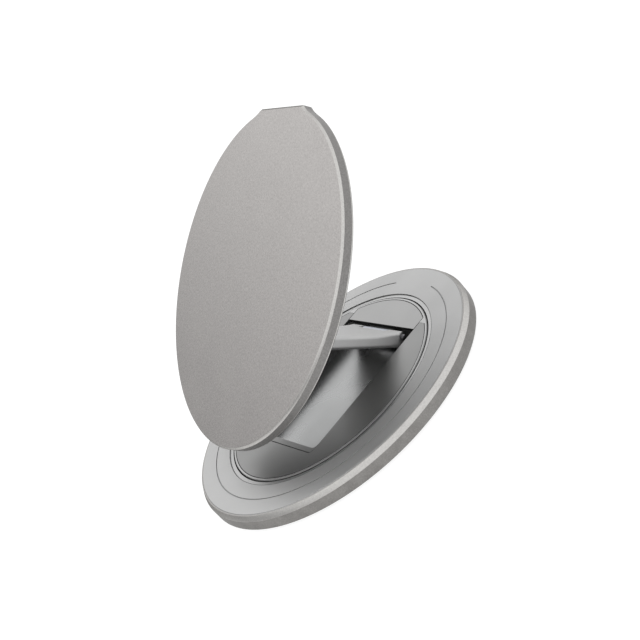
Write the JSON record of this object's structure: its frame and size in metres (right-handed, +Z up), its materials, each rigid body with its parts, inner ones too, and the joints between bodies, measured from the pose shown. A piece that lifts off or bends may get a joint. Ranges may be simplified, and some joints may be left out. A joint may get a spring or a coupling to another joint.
{
  "type": "folding magnetic phone stand",
  "caption": "Folding metal phone stand: a round magnetic plate on a short hinged arm, which folds flat into a slot in the turning disc of a matching round base.",
  "frame": {"origin": "middle of the underside of the base pad, on the surface that the stand rests on", "axes": "+Z up, along the axis of the base and its turning disc; +X along both hinge pins; +Y from the middle of the base towards the arm's hinge, so the plate's front faces up and towards -Y"},
  "size_m": [0.0584, 0.058, 0.0438],
  "materials": {
    "blasted_aluminium": "fine bead-blasted, anodised warm grey",
    "bright_edge": "turned bright",
    "satin_steel": "satin",
    "polished_steel": "polished",
    "hinge_steel": "satin, faintly blue",
    "arm_metal": "fine bead-blasted, anodised warm grey",
    "magnet": "nickel-plated",
    "screw_steel": "plain",
    "glide_plastic": "slippery, matt",
    "dark_sheet": "matt black",
    "pad_rubber": "soft matt black"
  },
  "bodies": {
    "base": {"base_ring": "blasted_aluminium", "base_cover": "screw_steel", "base_pad": "pad_rubber", "base_magnets": "magnet", "base_yoke": "screw_steel", "bezel_ring": "bright_edge", "glide_ring": "glide_plastic"},
    "rotor": {"rotor_disc": "bright_edge", "slot_floor_plate": "polished_steel", "rotor_face_plate": "satin_steel", "hinge_cover": "satin_steel", "base_hinge_knuckle": "hinge_steel", "base_hinge_pin": "hinge_steel", "base_hinge_washers": "screw_steel", "base_leaf_screws": "screw_steel"},
    "arm": {"arm": "arm_metal"},
    "plate": {"front_plate": "blasted_aluminium", "back_cover": "dark_sheet", "plate_magnets": "magnet", "plate_yoke": "screw_steel", "plate_hinge_knuckle": "hinge_steel", "plate_hinge_pin": "hinge_steel", "plate_hinge_washers": "screw_steel", "plate_leaf_screws": "screw_steel"}
  },
  "joints": [
    {"name": "rotor_spin", "type": "hinge", "parent": "base", "child": "rotor", "pos_m": [0, 0, 0], "axis": [0, 0, 1], "continuous": true},
    {"name": "arm_hinge", "type": "hinge", "parent": "rotor", "child": "arm", "pos_m": [0, 0.0132, 0.003], "axis": [1, 0, 0], "range_deg": [-14.27, 45.73]},
    {"name": "plate_hinge", "type": "hinge", "parent": "arm", "child": "plate", "pos_m": [0, -0.00278, 0.01939], "axis": [1, 0, 0], "range_deg": [-79.86, 24.93]}
  ],
  "couplings": [
    {"joint": "plate_hinge", "follows": "arm_hinge", "ratio": -1.7461}
  ]
}
